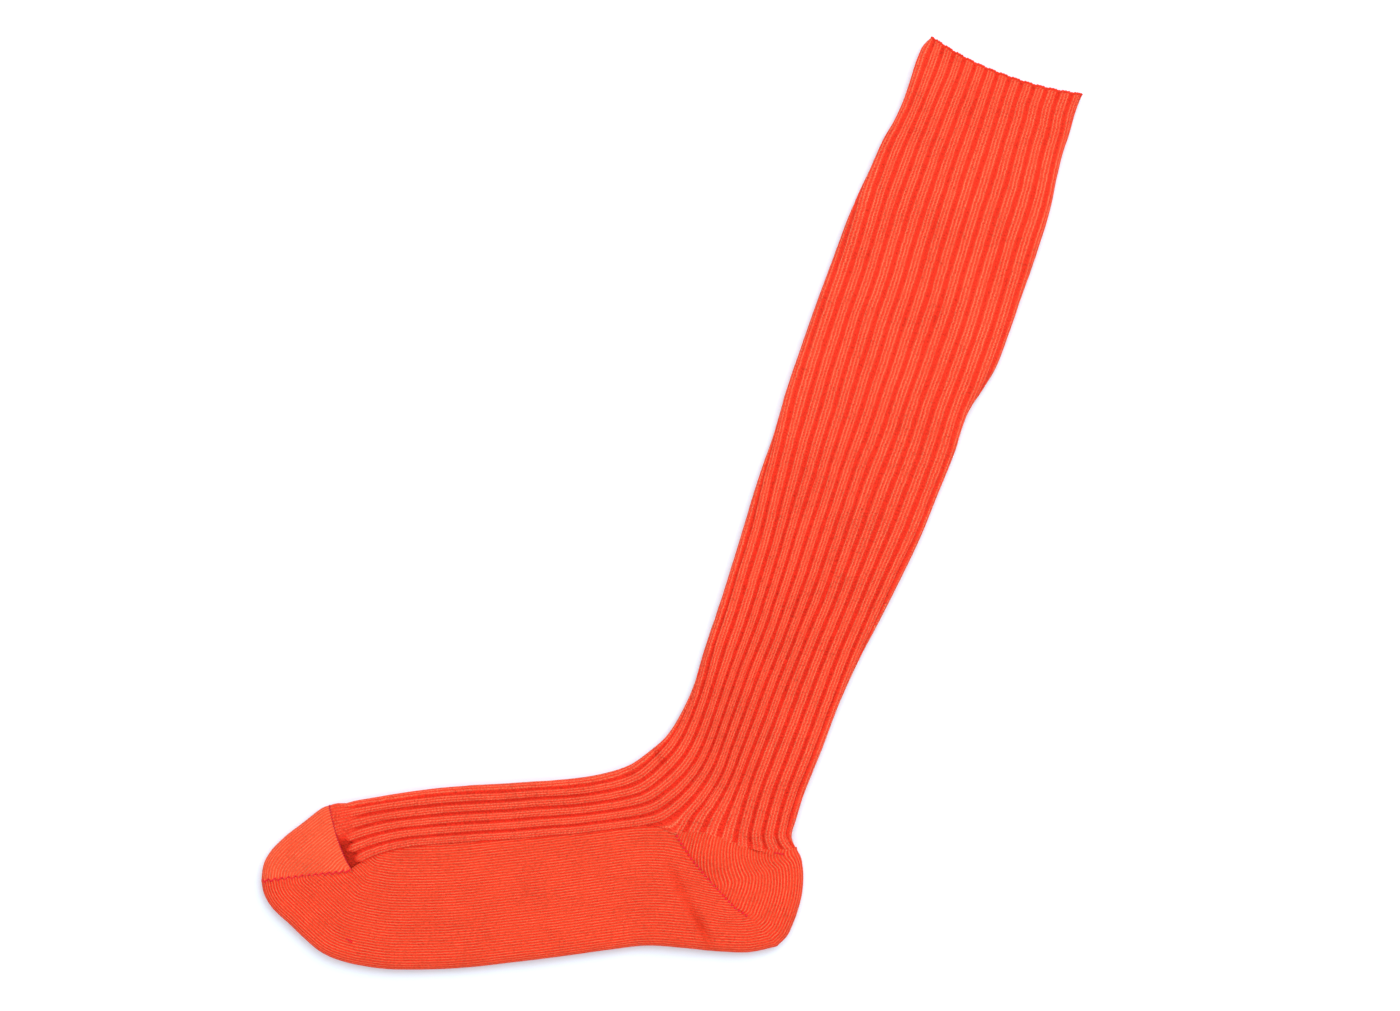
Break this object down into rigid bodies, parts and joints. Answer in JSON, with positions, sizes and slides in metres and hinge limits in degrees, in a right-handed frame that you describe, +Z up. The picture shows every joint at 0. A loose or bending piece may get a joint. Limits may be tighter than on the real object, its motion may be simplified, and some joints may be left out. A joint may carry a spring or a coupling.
{
  "type": "over-knee sock",
  "caption": "Ribbed cotton over-knee sock lying flat on its side, with a plain heel, sole and toe pocket and an open cuff.",
  "frame": {"origin": "centre of the bounding box on the surface the sock lies on", "axes": "+Y along the leg towards the open cuff, -X towards the toe, +Z up from the surface"},
  "size_m": [0.2312, 0.4738, 0.0132],
  "materials": {
    "ribbed_cotton": "matte ribbed knit",
    "plain_cotton": "matte plain knit",
    "seam_thread": "matte thread"
  },
  "bodies": {
    "root": {"welt": "ribbed_cotton", "leg": "ribbed_cotton", "instep": "ribbed_cotton", "heel": "plain_cotton", "sole": "plain_cotton", "toe": "plain_cotton", "toe_seam": "seam_thread"}
  },
  "joints": []
}
